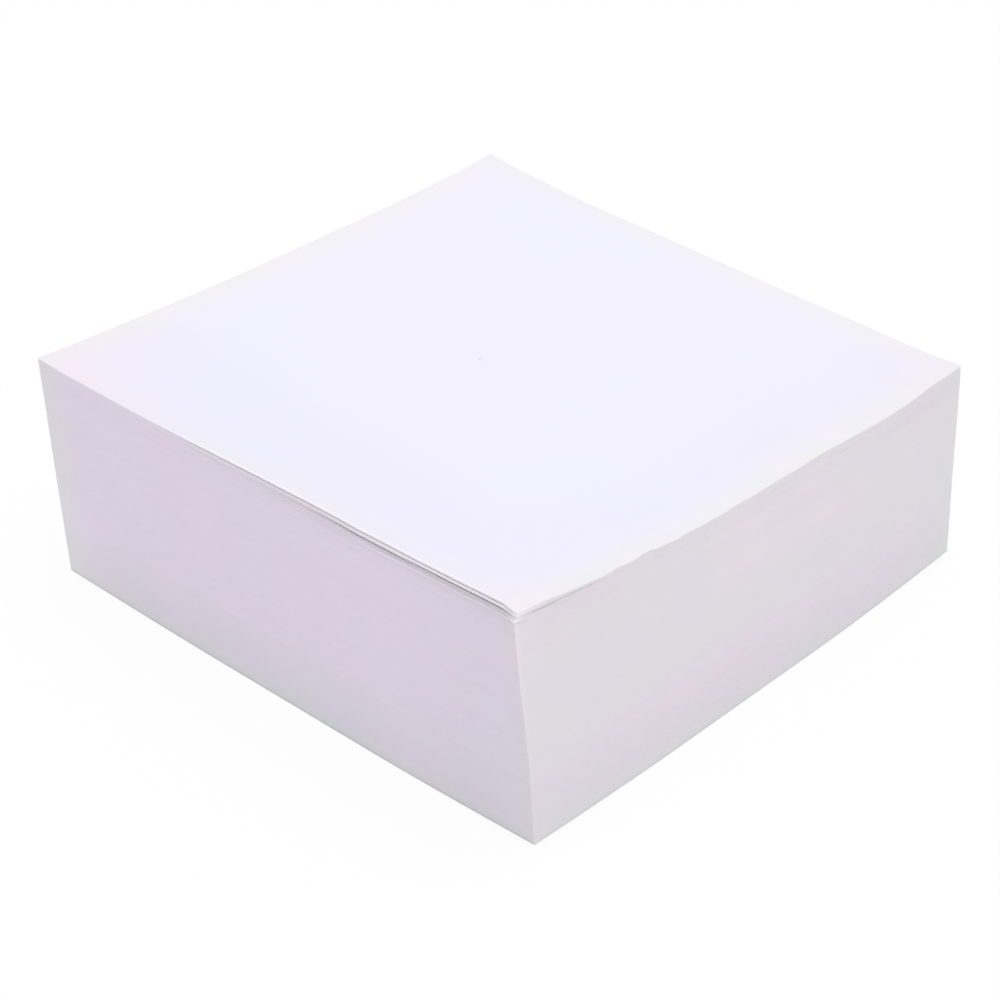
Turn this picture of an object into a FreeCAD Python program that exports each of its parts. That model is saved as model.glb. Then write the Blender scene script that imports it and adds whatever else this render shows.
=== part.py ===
"""A block of square memo paper with its top sheets lying loose, in millimetres, +Z up.

The origin is under the middle of the block, on the surface that it rests on. The two faces
that meet at the lifted front corner look along -X (the left face) and -Y (the right face).
Every sheet is a square of one size. The stack has crept a little: it leans, is slightly
turned from bottom to top, and its corners curl clear of the table. At the left edge the
topmost sheets stand apart in groups, which close up again further in.
"""
import FreeCAD, Part
import os

# the sheets
sheet_width = 90.0
sheet_thickness = 0.1
strip_count = 5           # sheets pressed together under the top sheet
fanned_count = 5          # slightly fanned sheets under those
air_film_gap = 0.03       # between loose sheets where they lie on one another

# the top of the tight block, under the loose sheets
block_height = 32.95      # at the middle
back_rise = 0.6           # higher at the back edge, and lower at the front one
left_front_rise = 3.45    # extra height of the left edge at the front corner
left_back_rise = 1.2      # and at the left corner
right_front_drop = 0.25   # fall towards the right corner

# curls of the block's corners, at its top and at its bottom
curl_power = 1.5
front_curl_rise = 0.7
back_curl_rise = 0.8
top_curl_reach = 25.0
right_curl_rise = 0.65
right_curl_reach = 12.0
tip_drop = 0.65           # the very tip of the front corner hangs down again
tip_reach = 5.0
front_foot_rise = 0.8
right_foot_rise = 1.25
back_foot_rise = 0.9
left_foot_rise = 0.45
foot_curl_reach = 30.5
settling_depth = 0.05     # how far the weight flattens the bottom on the table

# creep of the stack, from its bottom to its top
lean_x_offset = -2.6
lean_y_offset = -0.1
twist_offset = -0.8       # sideways travel of a corner along each side
twist_bulge_offset = 0.25 # more of it half way up

# gaps at the left edge: opening, where along Y they start, run to full width, reach inwards
top_gap = 0.22
top_gap_start = 13.0
top_gap_run = 22.0
top_gap_reach = 9.0
strip_gap = 0.3
strip_gap_reach = 18.0
fan_gap = 0.02
fan_gap_reach = 15.0
lower_gap_start = 9.0
lower_gap_run = 18.0

# spline surfaces: spans along each side of a sheet, and their degrees
spans = 15
degree = 3
cross_degree = 2
sewing_tolerance = 0.001

half = sheet_width / 2
FRONT = (-1, -1)
RIGHT = (1, -1)
BACK = (1, 1)
LEFT = (-1, 1)
CORNERS = (FRONT, RIGHT, BACK, LEFT)


def curl(x, y, corner, rise, reach):
    """Height that a curled corner adds at a point of the sheet."""
    from_x = half - corner[0] * x
    from_y = half - corner[1] * y
    fade = max(0.0, 1 - from_x / reach) * max(0.0, 1 - from_y / reach)
    return rise * fade ** curl_power


def block_top(x, y):
    """Height of the tight block's top."""
    to_back = (1 + y / half) / 2
    to_left = max(0.0, -x / half)
    to_right = max(0.0, x / half)
    left_rise = left_front_rise + (left_back_rise - left_front_rise) * to_back
    height = block_height + back_rise * y / half
    height += left_rise * to_left ** curl_power
    height -= right_front_drop * to_right * (1 - to_back)
    height += curl(x, y, FRONT, front_curl_rise, top_curl_reach)
    height += curl(x, y, BACK, back_curl_rise, top_curl_reach)
    height += curl(x, y, RIGHT, right_curl_rise, right_curl_reach)
    height -= curl(x, y, FRONT, tip_drop, tip_reach)
    return height


def block_bottom(x, y):
    """Height of the bottom sheet's underside. What lies below zero is pressed flat."""
    rises = (front_foot_rise, right_foot_rise, back_foot_rise, left_foot_rise)
    curls = [
        curl(x, y, corner, rise, foot_curl_reach)
        for corner, rise in zip(CORNERS, rises)
    ]
    return sum(curls) - settling_depth


def opened(x, y, gap, start, run, reach):
    """Height of a gap under a loose sheet, open only at the front part of the left edge."""
    along = min(1.0, max(0.0, (start - y) / run))
    inwards = max(0.0, 1 - (x + half) / reach)
    return gap * along * along * (3 - 2 * along) * inwards * inwards


def top_opened(x, y):
    return opened(x, y, top_gap, top_gap_start, top_gap_run, top_gap_reach)


def strip_opened(x, y):
    return opened(x, y, strip_gap, lower_gap_start, lower_gap_run, strip_gap_reach)


def fan_opened(x, y):
    return opened(x, y, fan_gap, lower_gap_start, lower_gap_run, fan_gap_reach)


def closed(x, y):
    return 0.0


def crept(x, y, level):
    """Plan position of a point of a sheet, at a level from 0 (bottom) to 1 (top)."""
    travel = twist_offset * level + 4 * twist_bulge_offset * level * (1 - level)
    turn = travel / half
    return x - y * turn + lean_x_offset * level, y + x * turn + lean_y_offset * level


def middle_of_outline():
    """Centre of the box round the bottom and the top outline."""
    corners = [
        crept(half * sx, half * sy, level)
        for sx, sy in CORNERS
        for level in (0.0, 1.0)
    ]
    xs = [corner[0] for corner in corners]
    ys = [corner[1] for corner in corners]
    return (min(xs) + max(xs)) / 2, (min(ys) + max(ys)) / 2


def stations():
    """Where the poles stand along a side, so that they follow a height as written."""
    span = sheet_width / spans
    knots = [-half] * degree
    knots += [-half + span * i for i in range(spans + 1)]
    knots += [half] * degree
    return [sum(knots[i + 1:i + degree + 1]) / degree for i in range(spans + degree)]


def pole(x, y, height, level):
    """A pole of a surface, in the part's frame."""
    middle_x, middle_y = middle_of_outline()
    crept_x, crept_y = crept(x, y, level)
    return FreeCAD.Vector(crept_x - middle_x, crept_y - middle_y, height)


def spline_face(net, row_degree):
    """A face from rows of poles, cubic along each row."""
    row_spans = len(net) - row_degree
    surface = Part.BSplineSurface()
    surface.buildFromPolesMultsKnots(
        net,
        [row_degree + 1] + [1] * (row_spans - 1) + [row_degree + 1],
        [degree + 1] + [1] * (spans - 1) + [degree + 1],
        list(range(row_spans + 1)),
        list(range(spans + 1)),
        False,
        False,
        row_degree,
        degree,
    )
    return surface.toShape()


def cut_face(edge, bottom, top, low_level, high_level):
    """One cut face: a row of poles along its lower edge, a middle row, and its upper edge."""
    lower = []
    middle = []
    upper = []
    for x, y in edge:
        low = pole(x, y, bottom(x, y), low_level)
        high = pole(x, y, top(x, y), high_level)
        mean_height = (bottom(x, y) + top(x, y)) / 2
        half_way = pole(x, y, mean_height, (low_level + high_level) / 2)
        lower.append(low)
        middle.append(half_way * 2 - (low + high) * 0.5)
        upper.append(high)
    return spline_face([lower, middle, upper], cross_degree)


def paper(bottom, top, low_level, high_level):
    """One solid of paper between two heights, with four cut faces round it."""
    places = stations()
    faces = []
    for height, level in ((bottom, low_level), (top, high_level)):
        net = [[pole(x, y, height(x, y), level) for y in places] for x in places]
        faces.append(spline_face(net, degree))
    for side in (-half, half):
        for edge in ([(x, side) for x in places], [(side, y) for y in places]):
            faces.append(cut_face(edge, bottom, top, low_level, high_level))
    shell = Part.makeCompound(faces)
    shell.sewShape(sewing_tolerance)
    solid = Part.makeSolid(shell.Shells[0])
    if solid.Volume < 0:
        solid.reverse()
    return solid


def page_block():
    """The tight block, with the part of its bottom that rests on the table pressed flat."""
    solid = paper(block_bottom, block_top, 0.0, 1.0)
    below = Part.makeBox(
        2 * sheet_width,
        2 * sheet_width,
        sheet_width,
        FreeCAD.Vector(-sheet_width, -sheet_width, -sheet_width),
    )
    return solid.cut(below).Solids[0]


def loose_sheet(openings):
    """A loose sheet that has these gaps under it, one for each sheet down to the block."""
    count = len(openings)

    def underside(x, y):
        gaps = sum(gap(x, y) for gap in openings)
        return block_top(x, y) + gaps + count * air_film_gap + (count - 1) * sheet_thickness

    def upper_side(x, y):
        return underside(x, y) + sheet_thickness

    return paper(underside, upper_side, 1.0, 1.0)


def main():
    os.makedirs("parts", exist_ok=True)
    page_block().exportStep("parts/page_block.step")
    openings = [fan_opened] * fanned_count
    openings += [strip_opened] + [closed] * (strip_count - 1)
    for count in range(1, len(openings) + 1):
        loose_sheet(openings[:count]).exportStep(f"parts/loose_sheet_{count:02d}.step")
    openings += [top_opened]
    loose_sheet(openings).exportStep("parts/top_sheet.step")


main()
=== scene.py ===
"""Dresses the memo block: the cut edge of every sheet as real geometry, the loose sheets on
top, procedural paper, and a plain white studio. Shapes are worked out in millimetres in the
part's frame, and scaled to metres as their meshes are made.

A sheet's left edge lies at -X and its front edge at -Y. They meet at the lifted front corner,
and round a sheet the right, back and left corners follow.
"""

import math

import bpy
import numpy as np
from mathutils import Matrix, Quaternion, Vector

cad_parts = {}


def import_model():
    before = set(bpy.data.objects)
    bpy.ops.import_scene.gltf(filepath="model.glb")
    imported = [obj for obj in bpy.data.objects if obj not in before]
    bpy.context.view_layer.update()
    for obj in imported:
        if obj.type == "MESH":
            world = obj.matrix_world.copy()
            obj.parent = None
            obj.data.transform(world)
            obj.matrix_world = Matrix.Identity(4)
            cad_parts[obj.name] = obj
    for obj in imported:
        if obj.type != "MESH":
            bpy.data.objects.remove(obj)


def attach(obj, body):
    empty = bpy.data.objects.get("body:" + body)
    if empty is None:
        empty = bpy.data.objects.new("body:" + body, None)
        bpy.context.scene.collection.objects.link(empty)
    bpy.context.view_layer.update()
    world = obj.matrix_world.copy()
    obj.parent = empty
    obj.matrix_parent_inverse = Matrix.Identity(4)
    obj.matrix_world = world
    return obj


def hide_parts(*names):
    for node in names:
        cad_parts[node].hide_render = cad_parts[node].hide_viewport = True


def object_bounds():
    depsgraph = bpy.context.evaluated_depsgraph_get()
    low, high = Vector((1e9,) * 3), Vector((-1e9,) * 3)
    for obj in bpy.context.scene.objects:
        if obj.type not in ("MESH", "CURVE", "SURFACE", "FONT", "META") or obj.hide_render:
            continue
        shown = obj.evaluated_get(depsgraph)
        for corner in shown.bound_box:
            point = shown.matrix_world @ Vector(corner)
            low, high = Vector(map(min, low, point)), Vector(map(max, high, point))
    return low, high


MM = 0.001
FRONT, RIGHT, BACK, LEFT = (-1, -1), (1, -1), (1, 1), (-1, 1)
CORNERS = (FRONT, RIGHT, BACK, LEFT)

# the sheets
SIDE = 90.0
HALF = SIDE / 2
CORNER_RADIUS = 0.08
LAYER = 0.13               # a loose sheet and the air under it
TOP_LAYER = 0.105          # the same for the top sheets
HAIRLINE = 0.003           # of that air, where sheets lie on one another
BLOCK_SHEETS = 320         # in the tight block
FANNED = 6                 # loose sheets right on the block, slightly fanned
STRIP = 3                  # loose sheets above them, pressed together
TOP_SHEETS = 2             # and above those
LOOSE = FANNED + STRIP + TOP_SHEETS

# the top of the block, under the loose sheets
BLOCK_HEIGHT = 33.0        # at the middle
BACK_RISE = 0.6            # higher at the back edge, and lower at the front one
LEFT_FRONT_RISE = 3.58     # extra height of the left edge at the front corner
LEFT_BACK_RISE = 1.2       # and at the left corner
RIGHT_FRONT_DROP = 0.25    # fall towards the right corner
CURL_POWER = 1.5           # how sharply edges and corners turn up

# creep of the stack from bottom to top
LEAN = (-2.6, -0.1)        # travel of the top of the block along X and Y
TWIST = -0.94              # sideways travel of a corner at the top of the block
TWIST_BULGE = (0.15, 0.4, 0.42)  # less of it around one level: how much, where, its reach
TWIST_BACK = 0.29          # how far the top sheet is turned back from the block
FRAME_MIDDLE = (-1.7, -0.1)  # the part's origin, from the middle of the bottom sheet

TOP_CURLS = (              # corner, rise, reach
    (FRONT, 0.7, 25.0),
    (BACK, 0.8, 25.0),
    (RIGHT, 0.65, 12.0),
    (LEFT, 0.2, 7.0),
    (FRONT, -0.25, 5.0),
    (BACK, 0.35, 6.0),
)
FOOT_CURLS = (
    (FRONT, 0.8, 30.5),
    (RIGHT, 1.25, 30.5),
    (BACK, 0.9, 30.5),
    (LEFT, 0.52, 36.0),
)
SETTLING = 0.05            # how far the weight flattens the bottom
SWELLS = (                 # middle, reach each way and rise of the top's soft waves
    ((-40.2, -45.0), (4.5, 8.0), -0.2),
    ((-32.0, -45.0), (10.0, 12.0), -0.19),
    ((-19.5, -45.0), (15.0, 14.0), 0.16),
    ((-14.4, -45.0), (5.5, 9.0), -0.28),
    ((4.0, -45.0), (13.0, 14.0), 0.17),
    ((28.5, -45.0), (12.5, 16.0), -0.41),
    ((45.0, -27.0), (14.0, 14.0), 0.18),
    ((45.0, 27.0), (14.0, 18.0), -0.1),
    ((-18.0, 45.0), (20.0, 14.0), -0.08),
    ((-45.0, 20.0), (14.0, 26.0), -0.18),
    ((-45.0, 4.0), (14.0, 9.0), 0.08),
    ((-45.0, -7.5), (14.0, 13.0), 0.19),
    ((-45.0, -24.0), (14.0, 5.5), 0.07),
    ((-45.0, -30.0), (14.0, 5.5), 0.07),
    ((-45.0, -28.0), (14.0, 20.0), -0.09),
)

# gaps at the left edge: opening, where along Y it starts, its run, its reach inwards
TOP_GAP = (0.13, 26.0, 20.0, 7.0)     # under the top sheets
STRIP_GAP = (0.28, -1.0, 20.0, 12.0)  # under the pressed ones
FAN_GAP = (0.015, 27.0, 26.0, 15.0)   # under each fanned one
# where along Y the gap under the pressed sheets moves up by a sheet, highest first, its run
STRIP_STEPS = ((-25.0, 5.0), (-10.0, 5.0))
FAN_WEIGHTS = (0.3, 0.6, 0.9, 0.6, 0.9, 0.7)  # of the fanned sheets' gaps, lowest first
FAN_WAVES = (11.0, 5.3, 2.9)          # lengths of the waves that make those gaps uneven
FAN_WAVE = 0.45                       # height of each wave, as a share of the gap
FAN_LEAST = 0.05                      # share of the gap that is always left
CORNER_HOLD = (0.9, 2.2)              # how far the gaps close at the front corner, its reach
# gaps at the front edge: the lowest sheet above it, opening, from where to where along X
FRONT_GAPS = (
    (FANNED - 1, 0.1, -44.9, -37.0),
    (FANNED, 0.08, -44.5, -32.5),
    (FANNED + 1, 0.08, -37.5, -29.5),
    (LOOSE, 0.06, -28.9, -25.4),
    (LOOSE, 0.09, -23.6, -19.6),
    (LOOSE, 0.08, -16.0, -11.0),
    (LOOSE, 0.05, -6.5, -1.5),
    (LOOSE, 0.05, 9.5, 16.0),
    (LOOSE, 0.05, 30.5, 42.0),
)
FRONT_GAP_REACH = 5.0
FRONT_GAP_ENDS = (0.5, 0.3)           # shares of a gap's length over which it opens and closes

# the cut edges
GAP_DEPTH = 0.03           # of the hairline between two sheets of the block
PAPER_SHARE = 0.96         # of a layer's height in the block, the rest is air
SHIFT = 0.008              # how far one sheet of the block lies out of line
LOOSE_SHIFT = 0.01         # and a loose one
DRIFT_SPAN = 25            # sheets over which the block's sheets drift out of line
DRIFT_SLOW, DRIFT_QUICK = 2.5, 0.5    # shares of that drift and of single sheets

# the meshes
CROWDING = 1.8             # how much closer together points get towards the corners
CORNER_STEPS = (0.25, 0.5)  # more points, this far from a corner
BLOCK_STEPS = 9            # points along half a side of the block
BLOCK_FRONT = (18.7, 25.1, 31.0, 33.5)  # and more of them along its front edge
BLOCK_RINGS = (0.97, 0.9, 0.8, 0.66, 0.5, 0.34, 0.18)
SHEET_STEPS = 16           # points along half a side of a loose sheet
SHEET_FRONT_POINTS = [5.0 + 0.7 * i for i in range(56)]
BURR_HIGHLIGHT_WIDTH = 0.36          # of the painted highlight on the burr along the top sheet's left edge
SHEET_RINGS = [1 - BURR_HIGHLIGHT_WIDTH / HALF] + [1 - 0.006 * k - 0.0045 * k * k for k in range(1, 14)]
SHARP_ANGLE = 35           # between faces, in degrees

# the bake map, in millimetres of paper
BAKE_SIDE = 190.0
BAKE_CELL = (95.0, 41.0)   # room for a cut face
BAKE_INSET = (2.0, 1.0)    # of the face in it
BAKE_FLATS = 92.0          # where the flat sides start

# colours, under a light that shows them as they are
SHEET = (0.873, 0.857, 0.98)          # the flat of the top sheet
SHEET_WARM = (1.007, 1.0, 0.985, 1)   # its clouds
SHEET_GREY = (0.993, 0.996, 0.985, 1)
SHEET_FIBRE = (0.95, 0.96, 0.96, 1)
SHEET_FRONT = (0.982, 0.982, 0.984)   # towards its front edges
SHEET_CORNER = (1.03, 0.975, 0.98)
SHEET_LEFT = (1.02, 0.985, 1.0)       # along part of the left edge
SHEET_RIM = (1.006, 1.012, 0.96)
RIM_GREY = (0.995, 1.012, 0.955, 1)   # patches in the rim
RIM_PINK = (1.012, 1.0, 0.985, 1)
BURR_HIGHLIGHT = 0.055                          # painted highlight on the burr
FLECK_GREY = (0.87, 0.87, 0.875, 1)   # the one speck
GAP_SHADE_GREY = (0.83, 0.8, 0.84)            # between the sheets: greyer and darker than the paper, painted shade for the gaps
CUT_ACROSS = (0.808, 0.721, 0.841)    # the cut faces along Y: pinker than along X by painted light
CUT_ALONG = (0.797, 0.761, 0.808)     # and along X: the same paper, under its own painted light
CUT_WARM = (1.012, 0.992, 1.005, 1)   # their clouds
CUT_COOL = (0.985, 1.0, 1.0, 1)
CUT_SHADE = (0.75, 0.76, 0.76, 1)     # and single sheets
STRIP_TONE = (0.985, 1.03, 0.975)     # the pressed and top sheets, along Y
EDGE_HIGHLIGHT = (0.95, 0.908, 0.983)      # painted highlight on edges that stand clear
# a painted highlight along the corners of the cut faces
CORNER_HIGHLIGHT = (0.885, 0.815, 0.895)
# painted shade: the cut faces darker and greyer towards their foot, and pinker along X
FOOT_ACROSS = (0.957, 1.015, 0.962)
FOOT_ALONG = (0.975, 0.99, 0.975)
FOOT_PINK = (1.0, 0.965, 1.005)
# a painted pool of light low on the faces along X
LOW_LIGHT_POOL = (1.03, 0.99, 1.02)
FRONT_FOOT = (1.0, 0.972, 0.995)      # painted shade at the foot along Y, near the front corner
LEFT_END = (1.05, 1.025, 1.045)       # lighter near the left one: less painted shade at the foot
SOLE = (0.985, 1.05, 0.985)           # the lowest sheets
CONTACT_SHADOW = (0.89, 0.89, 0.86)          # painted contact shadow where they rest
# a painted pool of light high in the middle of the faces along X, and by the front corner
LIGHT_POOL = (1.042, 1.01, 1.025)
TOP_END = (0.99, 0.962, 0.98)         # the highest sheets along X, near their corners
END_SHADE = (0.95, 0.98, 0.965)       # along Y, before the front corner
END_EDGE = (0.99, 1.0, 0.955)         # and right at it
END_ACROSS = (0.96, 1.055, 0.945)     # at the other corners
END_ALONG = (0.975, 1.012, 0.98)
GLOOM = (0.84, 0.87, 0.84, 1)         # under the gap at the left edge
GLEAM = (1.13, 1.13, 1.12, 1)         # a line in it that catches the light

# where up the block those tones rise from or fall to, and their run, in levels from 0 to 1
SOLE_SPAN = (0.09, 0.09)
CONTACT_SHADOW_SPAN = (0.016, 0.01)
FOOT_ACROSS_SPAN = (0.47, 0.26)
FOOT_SLOPE = 0.1           # how much lower that one is at the left corner
FOOT_ALONG_SPAN = (0.38, 0.35)
FOOT_PINK_SPAN = (0.46, 0.28)
LEFT_END_SPAN = (0.55, 0.25)
LIGHT_POOL_SPAN = (0.5, 0.25)
LIGHT_POOL_TOP_SPAN = (0.92, 0.06)         # above which half of it is left
FRONT_LIGHT_POOL_SPAN = (0.6, 0.35)
TOP_END_SPAN = (0.9, 0.06)
END_SHADE_SPAN = (0.5, 0.3)           # where there is less of it
END_ACROSS_SPAN = (0.1, 0.4)          # where there is twice as much of it
LOW_LIGHT_POOL_LEVELS = (0.3, 0.13)       # its middle, its reach up and down
# and where along the side, in millimetres: its middle, its reach each way
LIGHT_POOL_STRETCH = (50.0, 34.0)
LOW_LIGHT_POOL_STRETCH = (33.0, 26.0)
TOP_END_RIGHT, TOP_END_FRONT = (82.0, 12.0), (12.0, 15.0)
TOP_END_SHARE = 0.45                  # of the latter
END_SHADE_STRETCH = (22.0, 15.0)      # end and run, from the front corner
END_SHADE_LESS, RIGHT_PINK_LESS = 0.3, 0.8
# or its reach from a corner
FRONT_LIGHT_POOL_REACH, RIGHT_PINK_REACH = 8.0, 5.0
LEFT_END_REACH, END_EDGE_REACH, OTHER_END_REACH = 14.0, 3.0, 6.0

# the painted highlights along the corners: strength, end and run away from the corner
FAINT_LINE, FAINT_LINE_SPAN = 0.06, (0.55, 0.4)
FRONT_LINE, FRONT_LINE_SPAN = 0.14, (0.85, 0.35)
FRONT_BEND = 0.5           # share of the front one on the bend itself
# strength that the front one gains further up, and where
LINE_GAINS = ((0.26, 0.45, 0.25), (0.36, 0.93, 0.07))

# shade and light under the gap at the left edge: where along Y they start, their run, how far
# down they are, their reach up and down
WIDE_GLOOM = (22.0, 20.0, 0.0, 2.9)
CLOSE_GLOOM = (-6.0, 18.0, 0.0, 0.62)
LOWER_GLOOM = (2.0, 12.0, 0.98, 0.4)
GLEAM_LINE = (-15.0, 12.0, 0.53, 0.27)
WIDE_SHARE, LOWER_SHARE = 0.2, 0.28   # of the close shade

# painted highlight on edges that stand clear: where along the left and the front edge they end,
# their run
EDGE_HIGHLIGHT_LEFT, EDGE_HIGHLIGHT_FRONT = (-4.0, 22.0), (-36.0, 4.0)
EDGE_HIGHLIGHT_DEPTH = 6.0          # how far in from those edges
EDGE_HIGHLIGHT_PRESSED = 0.85       # share of a pressed sheet
EDGE_HIGHLIGHT_CORNERS = ((0.9, 2.2), (0.95, 1.8))  # share, reach: of a pressed sheet, of any sheet
EDGE_HIGHLIGHT_LEFT_SHARE = 0.8     # of a top sheet's left edge

# the top sheet's tones: where along X and along Y its front begins, its run
SHEET_FRONT_X, SHEET_FRONT_Y = (-18.0, 16.0), (-22.0, 16.0)
FRONT_BLUSH = 0.6          # less of that in the corners
BLUSHES = ((FRONT, 13.0), (RIGHT, 13.0), (LEFT, 22.0))  # corner, reach
BLUSH_TIP = 3.5            # reach of the pale tip in it, but for the front corner's
SHEET_LEFT_REACH = 8.0
SHEET_LEFT_STRETCH = (31.0, 18.0)     # its middle and its reach along Y
BURR_HIGHLIGHT_ROOM = 1.01           # to take in the ring of points at its width
BURR_HIGHLIGHT_SPAN = (22.0, 16.0)   # its end and run along Y
BURR_HIGHLIGHT_CORNER = (0.8, 8.0)   # less of it at the front corner, its reach
RIM_WIDTH = 5.5
RIM_LEFT = 0.45            # as much of it along the left edge
RIM_CORNERS = (0.35, 14.0)  # less of it at the corners, their reach
FLECK = (-1.3, 3.6)        # place of the speck
FLECK_RADIUS = 0.6

# the paper's patterns: noise cells for each metre, and detail
SHEET_CLOUDS, SHEET_PATCHES, SHEET_BLOTCHES = (28.0, 2.0), (70.0, 1.0), (210.0, 1.0)
CUT_CLOUDS, CUT_PATCHES = (45.0, 1.0), (110.0, 1.0)
SHEET_FIBRES, CUT_FIBRES = (1800.0, 3.0), (2600.0, 2.0)
# streaks along the cut sheets: cells for each sheet, and share of that for each millimetre
STROKES, FLECKS, DASHES = (0.9, 0.05), (0.8, 0.5), (0.5, 0.8)
STREAK_DETAIL = 2.0
# the values of that noise between which a pattern goes from none to full
CLOUD_RANGE, BLOTCH_RANGE = (0.35, 0.65), (0.42, 0.58)
FLECK_RANGE, DASH_RANGE = (0.3, 0.7), (0.3, 0.6)
PATCH_SHARE, FIBRE_SHARE, STROKE_SHARE = 0.6, 0.1, 0.1  # how strongly they tint
LEAST_GLOOM = 0.35         # between the flecks of shade
SHEET_ROUGHNESS, CUT_ROUGHNESS = (0.72, 0.9), (0.78, 0.95)
SHEET_BUMP, CUT_BUMP = 0.25, 0.3
FIBRE_DEPTH = 0.00002      # in metres
GLOSS = 0.25               # specular level of the paper

# how the camera stands, in degrees and millimetres
LENS = 99.708
SENSOR = 36.0
VIEW_AZIMUTH = -47.706
VIEW_ELEVATION = 32.957
VIEW_ROLL = 0.567
VIEW_DISTANCE = 393.129
VIEW_SLIDE = (-1.828, -4.793)
VIEW_TARGET = (-FRAME_MIDDLE[0], -FRAME_MIDDLE[1], 17.0)
CLIP = (0.01, 20.0)        # in metres

# the studio, in metres and watts
FLOOR_SIZE = 3.0
FLOOR_DROP = 0.00005
FLOOR_WHITE = (0.97, 0.97, 0.97, 1)
FLOOR_GLOW = 0.92          # share of plain white that the camera sees in it
WHITE = (1, 1, 1, 1)
DOME_STRENGTH = 0.82
KEY_AZIMUTH, KEY_ELEVATION = 10, 76
KEY_DISTANCE, KEY_SIZE, KEY_POWER = 1.2, 0.9, 3.4

random = np.random.default_rng(11)


# ---------------------------------------------------------------- soft steps

def smoothstep(t):
    t = np.clip(t, 0, 1)
    return t * t * (3 - 2 * t)


def bump(t):
    """1 at 0, falling smoothly to 0 at 1 either side."""
    return np.clip(1 - t * t, 0, None) ** 2


def around(value, middle, reach):
    """1 at a middle, falling smoothly to 0 at a reach either side."""
    return bump((value - middle) / reach)


def rising(value, start, run):
    """0 up to a start, and 1 from a run past it."""
    return smoothstep((value - start) / run)


def falling(value, end, run):
    """1 until a run before an end, and 0 from there."""
    return smoothstep((end - value) / run)


# ---------------------------------------------------------------- shape of the stack

def curled(x, y, curls):
    """Height added by curled corners."""
    total = np.zeros_like(x)
    for corner, rise, reach in curls:
        fade_x = np.clip(1 - (HALF - corner[0] * x) / reach, 0, None)
        fade_y = np.clip(1 - (HALF - corner[1] * y) / reach, 0, None)
        total += rise * (fade_x * fade_y) ** CURL_POWER
    return total


def block_top(x, y):
    """Height of the block's top."""
    to_back = (1 + y / HALF) / 2
    to_left = np.clip(-x / HALF, 0, None)
    to_right = np.clip(x / HALF, 0, None)
    left_rise = LEFT_FRONT_RISE + (LEFT_BACK_RISE - LEFT_FRONT_RISE) * to_back
    height = BLOCK_HEIGHT + BACK_RISE * y / HALF
    height = height + left_rise * to_left ** CURL_POWER
    height = height - RIGHT_FRONT_DROP * to_right * (1 - to_back)
    for middle, reach, rise in SWELLS:
        swell = around(x, middle[0], reach[0]) * around(y, middle[1], reach[1])
        height = height + rise * swell
    return height + curled(x, y, TOP_CURLS)


def block_bottom(x, y):
    """Height of the block's bottom, pressed flat where it rests."""
    return np.clip(curled(x, y, FOOT_CURLS) - SETTLING, 0, None)


def opened(x, y, gap, start, run, reach):
    """A gap that opens along the left edge towards the front corner, where the sheets hold."""
    inwards = np.clip(1 - (x + HALF) / reach, 0, None)
    hold, hold_reach = CORNER_HOLD
    held = hold * around(y, -HALF, hold_reach)
    return gap * falling(y, start, run) * (1 - held) * inwards ** 2


def opened_in_front(x, y, gap, begin, end):
    """A gap along a stretch of the front edge, which closes more sharply at its right end."""
    inwards = np.clip(1 - (y + HALF) / FRONT_GAP_REACH, 0, None)
    opening, closing = (share * (end - begin) for share in FRONT_GAP_ENDS)
    return gap * rising(x, begin, opening) * falling(x, end, closing) * inwards ** 2


def strip_share(number, y):
    """How much of the gap under the pressed sheets is under this loose one."""
    if not 0 <= FANNED - number < len(STRIP_STEPS):
        return float(number > FANNED)
    start, run = STRIP_STEPS[FANNED - number]
    return 1 - falling(y, start, run)


def stepped_down(y):
    """How far below its place at the front corner the gap under the pressed sheets lies."""
    return LAYER * sum(strip_share(FANNED - i, y) for i in range(len(STRIP_STEPS)))


def uneven(y, phases):
    """How much of its usual opening a fanned sheet's gap has at places along Y."""
    waves = [np.sin(2 * math.pi * y / length + p) for length, p in zip(FAN_WAVES, phases)]
    return np.clip(1 + FAN_WAVE * sum(waves), FAN_LEAST, None)


def underside(number, x, y, phases):
    """Height of a loose sheet's underside. Its number counts from 1 at the block."""
    height = block_top(x, y) + (number - 1) * LAYER + HAIRLINE
    if number == LOOSE:
        height = height + TOP_LAYER - LAYER
    for lower in range(min(number, FANNED)):
        gap = FAN_WEIGHTS[lower] * uneven(y, phases[lower]) * opened(x, y, *FAN_GAP)
        height = height + gap
    height = height + strip_share(number, y) * opened(x, y, *STRIP_GAP)
    if number > LOOSE - TOP_SHEETS:
        height = height + opened(x, y, *TOP_GAP)
    for lowest, *gap in FRONT_GAPS:
        if number >= lowest:
            height = height + opened_in_front(x, y, *gap)
    return height


def crept(x, y, level, loose=0.0, shift=(0.0, 0.0)):
    """Plan position of a sheet's points in the part's frame, from the sheet's level in the
    block, its share of the way up the loose sheets, and how far it lies out of line."""
    less, *where = TWIST_BULGE
    travel = TWIST * level + less * around(level, *where) + TWIST_BACK * loose
    turn = travel / HALF
    return (
        x - y * turn + LEAN[0] * level - FRAME_MIDDLE[0] + shift[0],
        y + x * turn + LEAN[1] * level - FRAME_MIDDLE[1] + shift[1],
    )


def drift(count, size):
    """A slow random walk that stays near zero, one value for each sheet."""
    steps = random.normal(0, 1, count)
    window = np.hanning(DRIFT_SPAN)
    smooth = np.convolve(steps, window / window.sum(), "same")
    return size * (smooth * DRIFT_SLOW + steps * DRIFT_QUICK)


# ---------------------------------------------------------------- colours of the edges

def tinted(colours, amount, factor):
    """Colours moved towards their product with a factor."""
    return colours * (1 + amount[:, None] * (np.array(factor) - 1))


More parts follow.
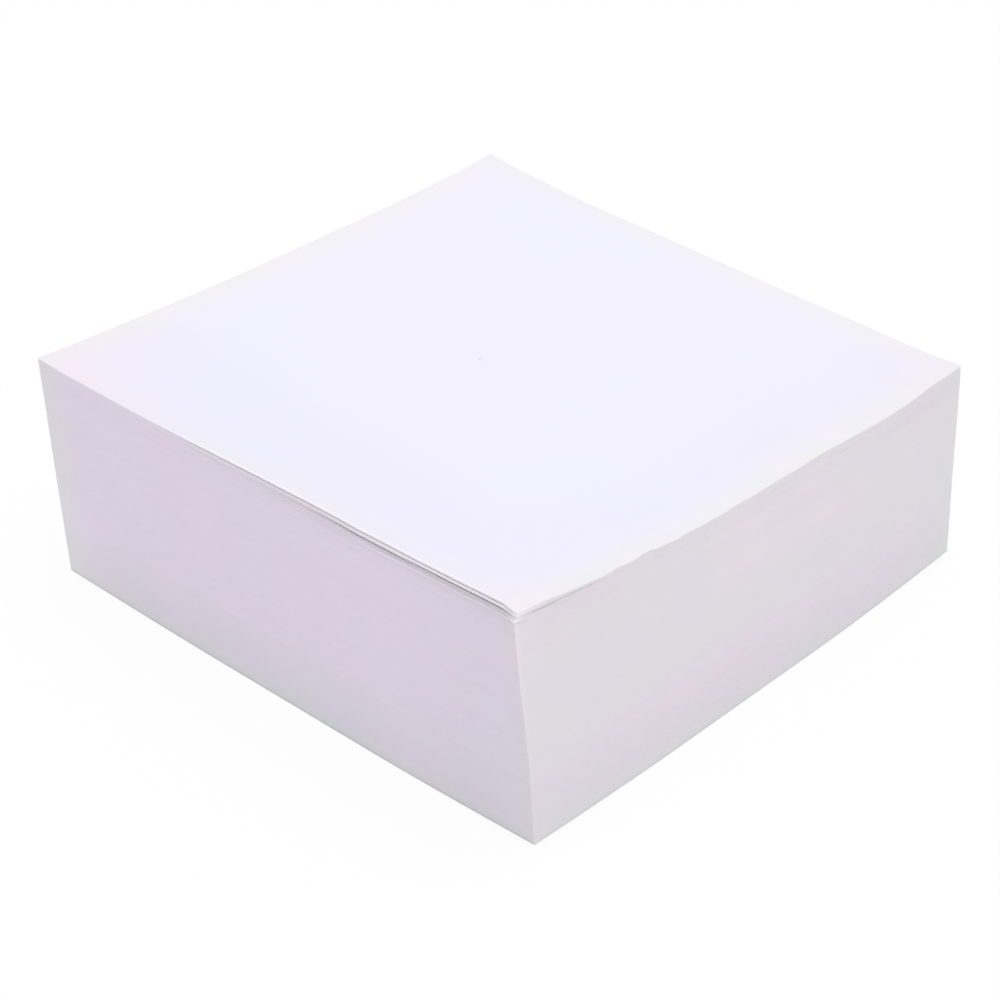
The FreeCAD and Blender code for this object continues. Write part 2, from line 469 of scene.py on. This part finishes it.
def turned_to(colours, amount, other):
    """Colours moved towards another colour."""
    return colours + amount[:, None] * (np.array(other) - colours)


def cut_tones(along, along_y, level):
    """Colours round the cut edges of sheets, from how far round the sheet their points are,
    which way their side runs, and their level in the block, from 0 to 1."""
    # one paper on every side: the two colours differ by painted light
    tones = along_y[:, None] * np.array(CUT_ACROSS) + (1 - along_y)[:, None] * np.array(CUT_ALONG)
    tones = across_tones(tones, along, along_y, level)
    tones = along_tones(tones, along, 1 - along_y, level)
    tones = tinted(tones, falling(level, *SOLE_SPAN), SOLE)
    # painted contact shadow on the lowest sheets
    tones = tinted(tones, (1 + along_y) / 2 * falling(level, *CONTACT_SHADOW_SPAN), CONTACT_SHADOW)
    return turned_to(tones, corner_highlight(along, level), CORNER_HIGHLIGHT)


def from_other_corners(along):
    """Distance from the nearest corner but the front one."""
    return np.minimum(np.abs(along % (2 * SIDE) - SIDE), np.abs(along - 2 * SIDE))


def across_tones(tones, along, amount, level):
    """Tones of the cut faces along Y. Their foot is greyer with painted shade, lower towards the
    left corner.
    """
    to_front, to_left = 4 * SIDE - along, np.abs(along - 3 * SIDE)
    foot = falling(level + FOOT_SLOPE * to_front / SIDE, *FOOT_ACROSS_SPAN)
    before_front = falling(to_front, *END_SHADE_STRETCH)
    before_front = before_front * (1 - END_SHADE_LESS * rising(level, *END_SHADE_SPAN))
    ends = bump(from_other_corners(along) / OTHER_END_REACH)
    for share, tone in (
        (foot, FOOT_ACROSS),
        (bump(to_left / LEFT_END_REACH) * falling(level, *LEFT_END_SPAN), LEFT_END),
        (before_front * (1 - foot / 2), END_SHADE),
        (before_front * foot, FRONT_FOOT),
        (bump(to_front / END_EDGE_REACH), END_EDGE),
        (ends * (1 + rising(level, *END_ACROSS_SPAN)) / 2, END_ACROSS),
    ):
        tones = tinted(tones, amount * share, tone)
    return tones


def along_tones(tones, along, amount, level):
    """Tones of the cut faces along X: greyer and pinker at the foot with painted shade, lighter in
    the middle with a painted pool of light.
    """
    less_pink = RIGHT_PINK_LESS * around(along, SIDE, RIGHT_PINK_REACH)
    middle = around(along % SIDE, *LIGHT_POOL_STRETCH)
    upper = rising(level, *LIGHT_POOL_SPAN) * (1 - rising(level, *LIGHT_POOL_TOP_SPAN) / 2)
    at_front = bump(along / FRONT_LIGHT_POOL_REACH) * rising(level, *FRONT_LIGHT_POOL_SPAN)
    near_ends = around(along, *TOP_END_RIGHT) + TOP_END_SHARE * around(along, *TOP_END_FRONT)
    for share, tone in (
        (falling(level, *FOOT_ALONG_SPAN), FOOT_ALONG),
        (falling(level, *FOOT_PINK_SPAN) * (1 - less_pink), FOOT_PINK),
        (np.maximum(middle * upper, at_front), LIGHT_POOL),
        (around(level, *LOW_LIGHT_POOL_LEVELS) * around(along, *LOW_LIGHT_POOL_STRETCH), LOW_LIGHT_POOL),
        (near_ends * rising(level, *TOP_END_SPAN), TOP_END),
        (bump(from_other_corners(along) / OTHER_END_REACH), END_ALONG),
    ):
        tones = tinted(tones, amount * share, tone)
    return tones


def corner_highlight(along, level):
    """How strong the painted highlight along the corners is: most at the front one, on its right.
    """
    to_corner = np.abs((along + HALF) % SIDE - HALF)
    faint = FAINT_LINE * falling(to_corner, *FAINT_LINE_SPAN)
    at_bend = along > 4 * SIDE - CORNER_RADIUS / 2
    front = falling(along, *FRONT_LINE_SPAN) + FRONT_BEND * at_bend
    strength = FRONT_LINE + sum(gain * rising(level, *where) for gain, *where in LINE_GAINS)
    return np.maximum(faint, front * strength)


def on_left_edge(x):
    """Whether points of a cut face, or within a millimetre of one, are on the left one."""
    return x < -HALF + 1


def under_gap(x, y, below, start, run, depth, reach):
    """1 at a depth under the gap at the left edge, fading over a reach up and down."""
    return on_left_edge(x) * falling(y, start, run) * around(below, depth, reach)


def gloom(x, y, below):
    """How deep the shade is under the gap at the left edge, from how far below the fanned
    sheets' top a point is."""
    wide = under_gap(x, y, below, *WIDE_GLOOM)
    close = under_gap(x, y, below, *CLOSE_GLOOM)
    lower = under_gap(x, y, below - stepped_down(y), *LOWER_GLOOM)
    return WIDE_SHARE * wide + close + LOWER_SHARE * lower


def gleam(x, y, below):
    """How clearly a line in that shade catches the light."""
    return under_gap(x, y, below - stepped_down(y), *GLEAM_LINE)


def edge_highlight(number, x, y):
    """Where a loose sheet's edge stands clear of the sheets round it and gets a painted highlight.
    """
    away = np.hypot(x + HALF, y + HALF)
    of_pressed, of_any = (share * bump(away / reach) for share, reach in EDGE_HIGHLIGHT_CORNERS)
    left = falling(y, *EDGE_HIGHLIGHT_LEFT) * np.clip(1 - (x + HALF) / EDGE_HIGHLIGHT_DEPTH, 0, 1)
    front = falling(x, *EDGE_HIGHLIGHT_FRONT) * np.clip(1 - (y + HALF) / EDGE_HIGHLIGHT_DEPTH, 0, 1)
    pressed = np.maximum(EDGE_HIGHLIGHT_PRESSED * left, of_pressed) * strip_share(number, y)
    upper = np.clip((number - LOOSE + TOP_SHEETS) / TOP_SHEETS, 0, 1) * (1 - front)
    upper = upper * np.where(on_left_edge(x), EDGE_HIGHLIGHT_LEFT_SHARE, 1.0)
    return np.maximum(np.maximum(pressed, of_any), upper)


# ---------------------------------------------------------------- colours of the top sheet

def rim(x, y):
    """How near a point of the top sheet is to its edges, less at the left one and at corners."""
    left = RIM_LEFT * falling(HALF + x, RIM_WIDTH, RIM_WIDTH)
    others = falling(HALF - np.maximum(x, np.abs(y)), RIM_WIDTH, RIM_WIDTH)
    less, reach = RIM_CORNERS
    at_corner = bump((HALF - np.minimum(np.abs(x), np.abs(y))) / reach)
    return np.maximum(left, others) * (1 - less * at_corner)


def top_tones(x, y):
    """Colours over the top sheet: its front, its corners, its left edge with the burr's painted
    highlight, its rim.
    """
    front = np.clip(falling(x, *SHEET_FRONT_X) + falling(y, *SHEET_FRONT_Y), 0, 1)
    corners = np.zeros_like(x)
    for corner, reach in BLUSHES:
        away = np.hypot(x - corner[0] * HALF, y - corner[1] * HALF)
        tip = bump(away / BLUSH_TIP) * (corner != FRONT)
        corners += bump(away / reach) * (1 - tip)
    left = around(x, -HALF, SHEET_LEFT_REACH) * around(y, *SHEET_LEFT_STRETCH)
    less, reach = BURR_HIGHLIGHT_CORNER
    # a painted highlight on the burr along the left edge
    burr = BURR_HIGHLIGHT * (x < BURR_HIGHLIGHT_ROOM * BURR_HIGHLIGHT_WIDTH - HALF) * falling(y, *BURR_HIGHLIGHT_SPAN)
    burr = burr * (1 - less * around(y, -HALF, reach))
    tones = np.tile(SHEET, (len(x), 1)) * (1 + burr[:, None])
    tones = tinted(tones, front * (1 - FRONT_BLUSH * corners), SHEET_FRONT)
    tones = tinted(tones, corners, SHEET_CORNER)
    tones = tinted(tones, left, SHEET_LEFT)
    return tinted(tones, rim(x, y), SHEET_RIM)


# ---------------------------------------------------------------- meshes

class Outline:
    """Points round a sheet, closer together near its corners: their place, how far round they
    are, which side they are on, and 1 in grain where that side runs along Y."""

    def __init__(self, steps, in_front):
        reach = HALF - CORNER_RADIUS
        near = {CORNER_RADIUS + reach * (i / steps) ** CROWDING for i in range(steps + 1)}
        near |= set(CORNER_STEPS)
        whole = near | {SIDE - s for s in near}
        bend = (1 - math.sqrt(0.5)) * CORNER_RADIUS
        x, y, along, side, along_y = [], [], [], [], []
        for quarter, corner in enumerate(CORNERS):
            cos, sin = ((1, 0), (0, 1), (-1, 0), (0, -1))[quarter]
            stations = sorted(whole | set(in_front) if quarter == 0 else whole)
            for s, inwards in [(s, 0) for s in stations] + [(SIDE - bend, bend)]:
                x.append(corner[0] * HALF + cos * s - sin * inwards)
                y.append(corner[1] * HALF + sin * s + cos * inwards)
                along.append(quarter * SIDE + s)
                side.append(quarter)
                along_y.append(0.5 if inwards else quarter % 2)
        self.x, self.y, self.along = np.array(x), np.array(y), np.array(along)
        self.side, self.along_y = np.array(side), np.array(along_y)
        self.count = len(x)


def lid_points(outline, rings):
    """Where a flat side's points lie: the outline made smaller for each ring, and the middle."""
    x = np.concatenate([outline.x * scale for scale in rings] + [[0.0]])
    y = np.concatenate([outline.y * scale for scale in rings] + [[0.0]])
    return x, y


def wall(lower, upper, count):
    """Quads between two rings of vertices, given the first vertex of each."""
    faces = []
    for i in range(count):
        after = (i + 1) % count
        faces.append((lower + i, lower + after, upper + after, upper + i))
    return faces


def lid(edge, start, count, rings, upwards):
    """Quads from an edge ring through a flat side's rings, and triangles round its middle."""
    firsts = [edge] + [start + count * k for k in range(rings)]
    middle = start + count * rings
    faces = []
    for outer, inner in zip(firsts, firsts[1:]):
        faces += wall(outer, inner, count)
    last = firsts[-1]
    faces += [(last + i, last + (i + 1) % count, middle) for i in range(count)]
    return faces if upwards else [tuple(reversed(face)) for face in faces]


def make_piece(name, node, points, faces, cut_faces, materials):
    """A mesh from groups of points in millimetres, which stands for a CAD node. The faces on
    its cut edges come first."""
    mesh = bpy.data.meshes.new(name)
    mesh.from_pydata((np.concatenate(points) * MM).tolist(), [], faces)
    for material in materials:
        mesh.materials.append(material)
    flat_faces = len(faces) - cut_faces
    mesh.polygons.foreach_set("material_index", [0] * cut_faces + [1] * flat_faces)
    piece = bpy.data.objects.new(name, mesh)
    bpy.context.scene.collection.objects.link(piece)
    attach(piece, "root")
    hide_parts(node)
    return mesh


def set_numbers(mesh, name, values):
    """Gives each vertex a number that the materials read."""
    attribute = mesh.attributes.new(name, "FLOAT", "POINT")
    attribute.data.foreach_set("value", np.asarray(values, dtype=np.float32))


def set_colours(mesh, name, values):
    """Gives each vertex a colour that the materials read."""
    attribute = mesh.attributes.new(name, "FLOAT_COLOR", "POINT")
    opaque = np.column_stack((values, np.ones(len(values))))
    attribute.data.foreach_set("color", opaque.astype(np.float32).ravel())


def set_edges(mesh, numbers, tones):
    """Gives the vertices of the cut edges, which come first, their numbers and colours."""
    flats = len(mesh.vertices) - len(tones)
    for name, values in numbers.items():
        set_numbers(mesh, name, np.append(values, np.zeros(flats)))
    set_colours(mesh, "cut", np.concatenate((tones, np.tile(GAP_SHADE_GREY, (flats, 1)))))


def set_bake_map(mesh, outline, heights, flat_x, flat_y):
    """A UV map with the four cut faces as strips, and the two flat sides above them. Faces
    come as rows round the sheet at these heights, then the lower flat side's, then the upper."""
    rows, count = len(heights) - 1, outline.count
    cell_width, cell_height = BAKE_CELL
    station = np.tile(np.arange(count), rows)[:, None]
    row = np.repeat(np.arange(rows), count)[:, None]
    side = outline.side[station]
    ends = np.append(outline.along, 4 * SIDE)[station + [[0, 1, 1, 0]]]
    u = (side % 2) * cell_width + BAKE_INSET[0] + ends - SIDE * side
    v = (side // 2) * cell_height + BAKE_INSET[1] + np.asarray(heights)[row + [[0, 0, 1, 1]]]
    vertex = np.empty(len(mesh.loops), np.int32)
    mesh.loops.foreach_get("vertex_index", vertex)
    flat = vertex[4 * rows * count:]
    place = flat - (len(mesh.vertices) - 2 * len(flat_x))
    on_edge, place = place < 0, place % len(flat_x)
    x = np.where(on_edge, outline.x[flat % count], flat_x[place])
    y = np.where(on_edge, outline.y[flat % count], flat_y[place])
    upper = np.arange(len(flat)) >= len(flat) // 2
    flat_u = cell_width * upper + cell_width / 2 + x
    flat_v = BAKE_FLATS + HALF + y
    places = np.stack((np.append(u, flat_u), np.append(v, flat_v)), 1) / BAKE_SIDE
    layer = mesh.uv_layers.new(name="OFBake")
    layer.uv.foreach_set("vector", places.astype(np.float32).ravel())


def block_rows(outline):
    """Rings of points up the block's cut faces, and their levels. Each sheet has its lower and
    its upper edge, lies a little out of line, and has the bottom of a hairline gap above it."""
    x, y = outline.x, outline.y
    bottom, top = block_bottom(x, y), block_top(x, y)
    shifts = list(zip(drift(BLOCK_SHEETS, SHIFT), drift(BLOCK_SHEETS, SHIFT)))
    inner = 1 - GAP_DEPTH / HALF
    rows, levels = [], []
    for sheet, shift in enumerate(shifts):
        low, high = sheet / BLOCK_SHEETS, (sheet + PAPER_SHARE) / BLOCK_SHEETS
        gap = (low + 1 / BLOCK_SHEETS + high) / 2
        for level, scale in ((low, 1.0), (high, 1.0), (gap, inner)):
            plan = crept(x * scale, y * scale, level, shift=shift)
            rows.append(np.column_stack((*plan, bottom + (top - bottom) * level)))
            levels.append(level)
    return rows[:-1], np.array(levels[:-1])


def make_block(materials):
    """The tight block, of sheets that each have their own cut edge."""
    outline = Outline(BLOCK_STEPS, BLOCK_FRONT)
    count = outline.count
    points, levels = block_rows(outline)
    faces = []
    for row in range(len(points) - 1):
        faces += wall(row * count, (row + 1) * count, count)
    cut_faces = len(faces)
    flat_x, flat_y = lid_points(outline, BLOCK_RINGS)
    last_row, start = (len(points) - 1) * count, len(points) * count
    for edge, height, level in ((0, block_bottom, 0.0), (last_row, block_top, 1.0)):
        plan = crept(flat_x, flat_y, level)
        points.append(np.column_stack((*plan, height(flat_x, flat_y))))
        faces += lid(edge, start, count, len(BLOCK_RINGS), edge == last_row)
        start += len(flat_x)
    mesh = make_piece("memo_block", "page_block", points, faces, cut_faces, materials)

    level = np.repeat(levels, count)
    x, y, along, along_y = (
        np.tile(values, len(levels))
        for values in (outline.x, outline.y, outline.along, outline.along_y)
    )
    below = FANNED * LAYER + (1 - level) * BLOCK_HEIGHT
    numbers = {
        "level": level * BLOCK_SHEETS,
        "along": along,
        "gloom": gloom(x, y, below),
        "gleam": gleam(x, y, below),
    }
    set_edges(mesh, numbers, cut_tones(along, along_y, level))
    set_colours(mesh, "flat", np.tile(GAP_SHADE_GREY, (len(mesh.vertices), 1)))
    set_bake_map(mesh, outline, levels * BLOCK_HEIGHT, flat_x, flat_y)


def make_loose_sheet(number, outline, phases, materials):
    """One loose sheet, which rests on the one below but for the gaps between them."""
    top = number == LOOSE
    count = outline.count
    shift = random.normal(0, LOOSE_SHIFT, 2)
    thickness = (TOP_LAYER if number > LOOSE - TOP_SHEETS else LAYER) - HAIRLINE

    def raised(x, y, rise):
        height = underside(number, x, y, phases) + rise
        return np.column_stack((*crept(x, y, 1.0, number / LOOSE, shift), height))

    flat_x, flat_y = lid_points(outline, SHEET_RINGS)
    points = [raised(outline.x, outline.y, rise) for rise in (0.0, thickness)]
    points += [raised(flat_x, flat_y, rise) for rise in (0.0, thickness)]
    rings, lower, upper = len(SHEET_RINGS), 2 * count, 2 * count + len(flat_x)
    faces = wall(0, count, count)
    faces += lid(0, lower, count, rings, False) + lid(count, upper, count, rings, True)
    name = "uppermost_sheet" if top else f"lying_sheet_{number:02d}"
    node = "top_sheet" if top else f"loose_sheet_{number:02d}"
    mesh = make_piece(name, node, points, faces, count, materials)
    mesh.shade_smooth()
    mesh.set_sharp_from_angle(angle=math.radians(SHARP_ANGLE))
    dress_loose_sheet(mesh, number, outline, flat_x, flat_y)
    set_bake_map(mesh, outline, (0.0, 1.0), flat_x, flat_y)


def dress_loose_sheet(mesh, number, outline, flat_x, flat_y):
    """Gives a loose sheet's vertices what the materials read."""
    x, y, count = outline.x, outline.y, outline.count
    under = number <= FANNED
    below = np.full(count, (FANNED - number) * LAYER)
    numbers = {
        "level": np.full(count, BLOCK_SHEETS + number),
        "along": outline.along,
        "gloom": gloom(x, y, below) * under,
        "gleam": gleam(x, y, below) * under,
    }
    numbers = {name: np.tile(values, 2) for name, values in numbers.items()}
    tones = cut_tones(outline.along, outline.along_y, np.ones(count))
    if not under:
        tones = tinted(tones, outline.along_y, STRIP_TONE)
    tones = turned_to(tones, edge_highlight(number, x, y), EDGE_HIGHLIGHT)
    set_edges(mesh, numbers, np.tile(tones, (2, 1)))
    if number < LOOSE:
        set_colours(mesh, "flat", np.tile(GAP_SHADE_GREY, (len(mesh.vertices), 1)))
        return
    all_x, all_y = np.concatenate((x, x, flat_x, flat_x)), np.concatenate((y, y, flat_y, flat_y))
    set_numbers(mesh, "rim", rim(all_x, all_y))
    set_numbers(mesh, "top", np.ones(len(all_x)))
    set_colours(mesh, "flat", top_tones(all_x, all_y))


def make_loose_sheets(materials):
    """All the loose sheets, from the block up."""
    outline = Outline(SHEET_STEPS, SHEET_FRONT_POINTS)
    phases = random.uniform(0, 2 * math.pi, (FANNED, len(FAN_WAVES)))
    for number in range(1, LOOSE + 1):
        make_loose_sheet(number, outline, phases, materials)


# ---------------------------------------------------------------- paper

class Shader:
    """Short calls for building nodes."""

    def __init__(self, tree):
        self.tree = tree
        tree.nodes.clear()

    def node(self, kind, inputs=None, **settings):
        node = self.tree.nodes.new("ShaderNode" + kind)
        for key, value in settings.items():
            setattr(node, key, value)
        for key, value in (inputs or {}).items():
            if isinstance(value, bpy.types.NodeSocket):
                self.tree.links.new(value, node.inputs[key])
            else:
                node.inputs[key].default_value = value
        return node

    def maths(self, operation, first, second=0.0):
        return self.node("Math", {0: first, 1: second}, operation=operation).outputs[0]

    def vector(self, operation, first, second, output="Vector"):
        node = self.node("VectorMath", {0: first, 1: second}, operation=operation)
        return node.outputs[output]

    def blend(self, amount, first, second, kind="MIX"):
        """Mixes two colours, or multiplies the first by the second. Sockets 6 and 7 are the
        Mix node's colours."""
        inputs = {0: amount, 6: first, 7: second}
        return self.node("Mix", inputs, data_type="RGBA", blend_type=kind).outputs[2]

    def tint(self, amount, colour, factor):
        return self.blend(amount, colour, factor, "MULTIPLY")

    def number(self, name):
        return self.node("Attribute", attribute_name=name).outputs["Fac"]

    def colour(self, name):
        return self.node("Attribute", attribute_name=name).outputs["Color"]

    def between(self, value, low, high, interpolation="LINEAR"):
        """A value stretched from 0 to 1 between two of its values."""
        inputs = {"Value": value, "From Min": low, "From Max": high}
        return self.node("MapRange", inputs, interpolation_type=interpolation).outputs["Result"]

    def noise(self, vector, scale, detail):
        inputs = {"Vector": vector, "Scale": scale, "Detail": detail}
        return self.node("TexNoise", inputs).outputs["Fac"]

    def clouds(self, vector, pattern, values=CLOUD_RANGE):
        """Soft noise of a pattern's scale and detail, from none to full between two values."""
        return self.between(self.noise(vector, *pattern), *values, "SMOOTHSTEP")

    def spot(self, place, middle, radius):
        """1 at a place in plan, in millimetres, falling smoothly to 0 at a distance from it."""
        centre = (middle[0] * MM, middle[1] * MM, 0)
        away = self.vector("DISTANCE", self.vector("MULTIPLY", place, (1, 1, 0)), centre, "Value")
        return self.between(away, radius * MM, 0.0, "SMOOTHSTEP")

    def streaks(self, along, level, scale, stretch):
        """Noise in streaks along the sheets."""
        place = {"X": self.maths("MULTIPLY", along, stretch), "Y": level}
        return self.noise(self.node("CombineXYZ", place).outputs[0], scale, STREAK_DETAIL)

    def paper(self, colour, fibres, roughness_range, bump_strength):
        """A matt surface whose roughness and bump come from its fibres."""
        low, high = roughness_range
        roughness = self.node("MapRange", {"Value": fibres, "To Min": low, "To Max": high})
        inputs = {"Height": fibres, "Strength": bump_strength, "Distance": FIBRE_DEPTH}
        normal = self.node("Bump", inputs)
        surface = self.node("BsdfPrincipled", {
            "Base Color": colour,
            "Roughness": roughness.outputs["Result"],
            "Normal": normal.outputs[0],
            "Specular IOR Level": GLOSS,
        })
        self.node("OutputMaterial", {"Surface": surface.outputs[0]})


def new_material(name):
    material = bpy.data.materials.new(name)
    material.use_nodes = True
    return material, Shader(material.node_tree)


def sheet_paper():
    """The flat of a sheet: bluish white with faint warm clouds and fibres, blotchy at the rim,
    and one speck on the top sheet."""
    material, shader = new_material("sheet_paper")
    place = shader.node("TexCoord").outputs["Object"]
    clouds = shader.clouds(place, SHEET_CLOUDS)
    patches = shader.clouds(place, SHEET_PATCHES)
    blotches = shader.clouds(place, SHEET_BLOTCHES, BLOTCH_RANGE)
    fibres = shader.noise(place, *SHEET_FIBRES)
    colour = shader.tint(clouds, shader.colour("flat"), SHEET_WARM)
    colour = shader.tint(shader.maths("MULTIPLY", patches, PATCH_SHARE), colour, SHEET_GREY)
    colour = shader.tint(shader.maths("MULTIPLY", fibres, FIBRE_SHARE), colour, SHEET_FIBRE)
    blotch = shader.blend(blotches, RIM_PINK, RIM_GREY)
    colour = shader.tint(shader.number("rim"), colour, blotch)
    spot = shader.spot(place, FLECK, FLECK_RADIUS)
    colour = shader.tint(shader.maths("MULTIPLY", spot, shader.number("top")), colour, FLECK_GREY)
    shader.paper(colour, fibres, SHEET_ROUGHNESS, SHEET_BUMP)
    return material


def cut_paper():
    """The cut faces: pinkish grey, with each sheet a little lighter or darker, and uneven shade
    and light under the gap at the left edge."""
    material, shader = new_material("cut_paper")
    place = shader.node("TexCoord").outputs["Object"]
    level, along = shader.number("level"), shader.number("along")
    clouds = shader.clouds(place, CUT_CLOUDS)
    patches = shader.clouds(place, CUT_PATCHES)
    strokes = shader.streaks(along, level, *STROKES)
    flecks = shader.between(shader.streaks(along, level, *FLECKS), *FLECK_RANGE)
    dashes = shader.between(shader.streaks(along, level, *DASHES), *DASH_RANGE)
    fibres = shader.noise(place, *CUT_FIBRES)
    colour = shader.tint(clouds, shader.colour("cut"), CUT_WARM)
    colour = shader.tint(patches, colour, CUT_COOL)
    colour = shader.tint(shader.maths("MULTIPLY", strokes, STROKE_SHARE), colour, CUT_SHADE)
    shade = shader.maths("ADD", flecks, LEAST_GLOOM)
    shade = shader.maths("MULTIPLY", shade, shader.number("gloom"))
    colour = shader.tint(shade, colour, GLOOM)
    shine = shader.maths("MULTIPLY", dashes, shader.number("gleam"))
    colour = shader.tint(shine, colour, GLEAM)
    shader.paper(colour, fibres, CUT_ROUGHNESS, CUT_BUMP)
    return material


# ---------------------------------------------------------------- studio

def seen_or(shader, seen, otherwise):
    """One shader for the camera and for mirror and glass rays, another for all light."""
    path = shader.node("LightPath").outputs
    rays = shader.maths("MAXIMUM", path["Is Camera Ray"], path["Is Glossy Ray"])
    rays = shader.maths("MAXIMUM", rays, path["Is Transmission Ray"])
    return shader.node("MixShader", {0: rays, 1: otherwise, 2: seen}).outputs[0]


def make_floor(height):
    """A matt floor, which the camera sees as almost plain white with the block's shadow."""
    mesh = bpy.data.meshes.new("floor")
    corners = [(x * FLOOR_SIZE, y * FLOOR_SIZE, height) for x, y in CORNERS]
    mesh.from_pydata(corners, [], [(0, 1, 2, 3)])
    floor = bpy.data.objects.new("floor", mesh)
    bpy.context.scene.collection.objects.link(floor)
    material, shader = new_material("floor")
    matt = shader.node("BsdfDiffuse", {"Color": FLOOR_WHITE}).outputs[0]
    white = shader.node("Emission", {"Color": WHITE, "Strength": 1.0}).outputs[0]
    mixed = shader.node("MixShader", {0: FLOOR_GLOW, 1: matt, 2: white}).outputs[0]
    shader.node("OutputMaterial", {"Surface": seen_or(shader, mixed, matt)})
    mesh.materials.append(material)


def make_world():
    """An even dome of light, which the camera sees as plain white."""
    world = bpy.data.worlds.new("studio")
    bpy.context.scene.world = world
    world.use_nodes = True
    shader = Shader(world.node_tree)
    dome = shader.node("Background", {"Color": WHITE, "Strength": DOME_STRENGTH}).outputs[0]
    white = shader.node("Background", {"Color": WHITE, "Strength": 1.0}).outputs[0]
    shader.node("OutputWorld", {"Surface": seen_or(shader, white, dome)})


def direction(azimuth, elevation):
    """Towards a lamp or camera: azimuth from -Y towards +X, in degrees."""
    a, e = math.radians(azimuth), math.radians(elevation)
    return Vector((math.sin(a) * math.cos(e), -math.cos(a) * math.cos(e), math.sin(e)))


def make_lamp():
    """A soft square lamp that looks at the block."""
    light = bpy.data.lights.new("key", "AREA")
    light.size = KEY_SIZE
    light.energy = KEY_POWER
    lamp = bpy.data.objects.new("key", light)
    away = direction(KEY_AZIMUTH, KEY_ELEVATION)
    lamp.location = away * KEY_DISTANCE
    lamp.rotation_mode = "QUATERNION"
    lamp.rotation_quaternion = away.to_track_quat("Z", "Y")
    bpy.context.scene.collection.objects.link(lamp)


def make_camera():
    """The camera looks at the middle of the block, and is then slid sideways and down."""
    camera = bpy.data.objects.new("camera", bpy.data.cameras.new("camera"))
    camera.data.sensor_width = SENSOR
    camera.data.lens = LENS
    camera.data.clip_start, camera.data.clip_end = CLIP
    back = direction(VIEW_AZIMUTH, VIEW_ELEVATION)
    turn = back.to_track_quat("Z", "Y") @ Quaternion((0, 0, 1), math.radians(VIEW_ROLL))
    slide = turn @ Vector((*VIEW_SLIDE, VIEW_DISTANCE))
    camera.rotation_mode = "QUATERNION"
    camera.rotation_quaternion = turn
    camera.location = (Vector(VIEW_TARGET) + slide) * MM
    bpy.context.scene.collection.objects.link(camera)
    bpy.context.scene.camera = camera


def main():
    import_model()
    cad_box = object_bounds()
    make_camera()
    materials = [cut_paper(), sheet_paper()]
    make_block(materials)
    make_loose_sheets(materials)
    make_floor(cad_box[0][2] - FLOOR_DROP)
    make_world()
    make_lamp()
    bpy.context.scene.view_settings.view_transform = "Standard"


main()
